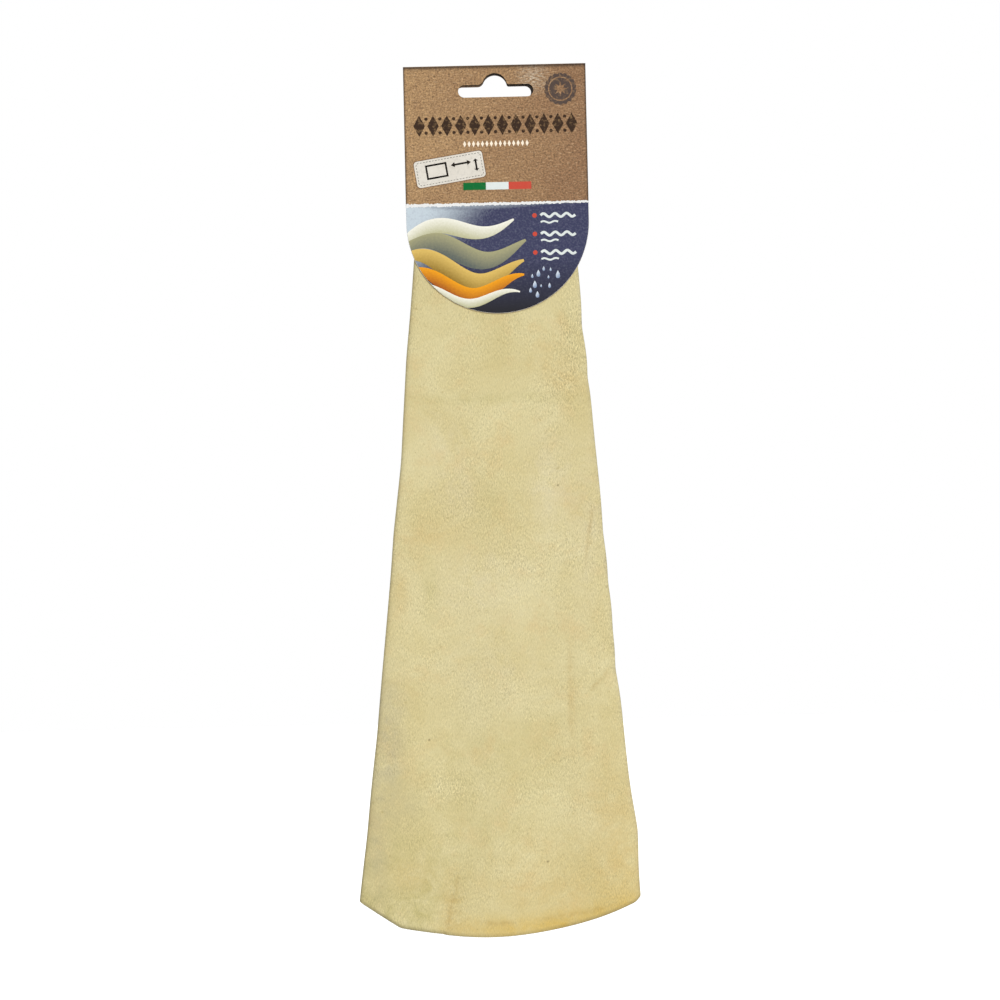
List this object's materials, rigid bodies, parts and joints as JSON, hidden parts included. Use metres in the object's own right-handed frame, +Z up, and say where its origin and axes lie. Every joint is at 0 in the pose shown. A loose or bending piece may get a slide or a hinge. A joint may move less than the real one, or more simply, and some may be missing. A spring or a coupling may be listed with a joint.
{
  "type": "chamois leather",
  "caption": "Straw-coloured chamois cleaning skin, its long sides folded behind, hung from a creased kraft header card with a hang slot and a half-round tongue.",
  "frame": {"origin": "crown of the hang slot's hump, midway between the two leaves, where a peg carries the card", "axes": "+Z up as it hangs, +Y towards the back of the card, +X to the right as seen from the front"},
  "size_m": [0.1217, 0.0056, 0.3769],
  "materials": {
    "kraft_board": "matte printed kraft board",
    "chamois": "napped suede",
    "zinc_wire": "galvanised wire"
  },
  "bodies": {
    "card_back": {"back_leaf": "kraft_board", "skin_stapled_end": "chamois", "staple_left": "zinc_wire", "staple_right": "zinc_wire"},
    "card_front": {"front_leaf": "kraft_board"},
    "skin": {"skin_hanging": "chamois"}
  },
  "joints": [
    {"name": "card_crease", "type": "hinge", "parent": "card_back", "child": "card_front", "pos_m": [0, 0, 0.0038], "axis": [-1, 0, 0], "range_deg": [0, 150]},
    {"name": "skin_swing", "type": "hinge", "parent": "card_back", "child": "skin", "pos_m": [0, 0, -0.106], "axis": [1, 0, 0], "range_deg": [-90, 90]}
  ]
}
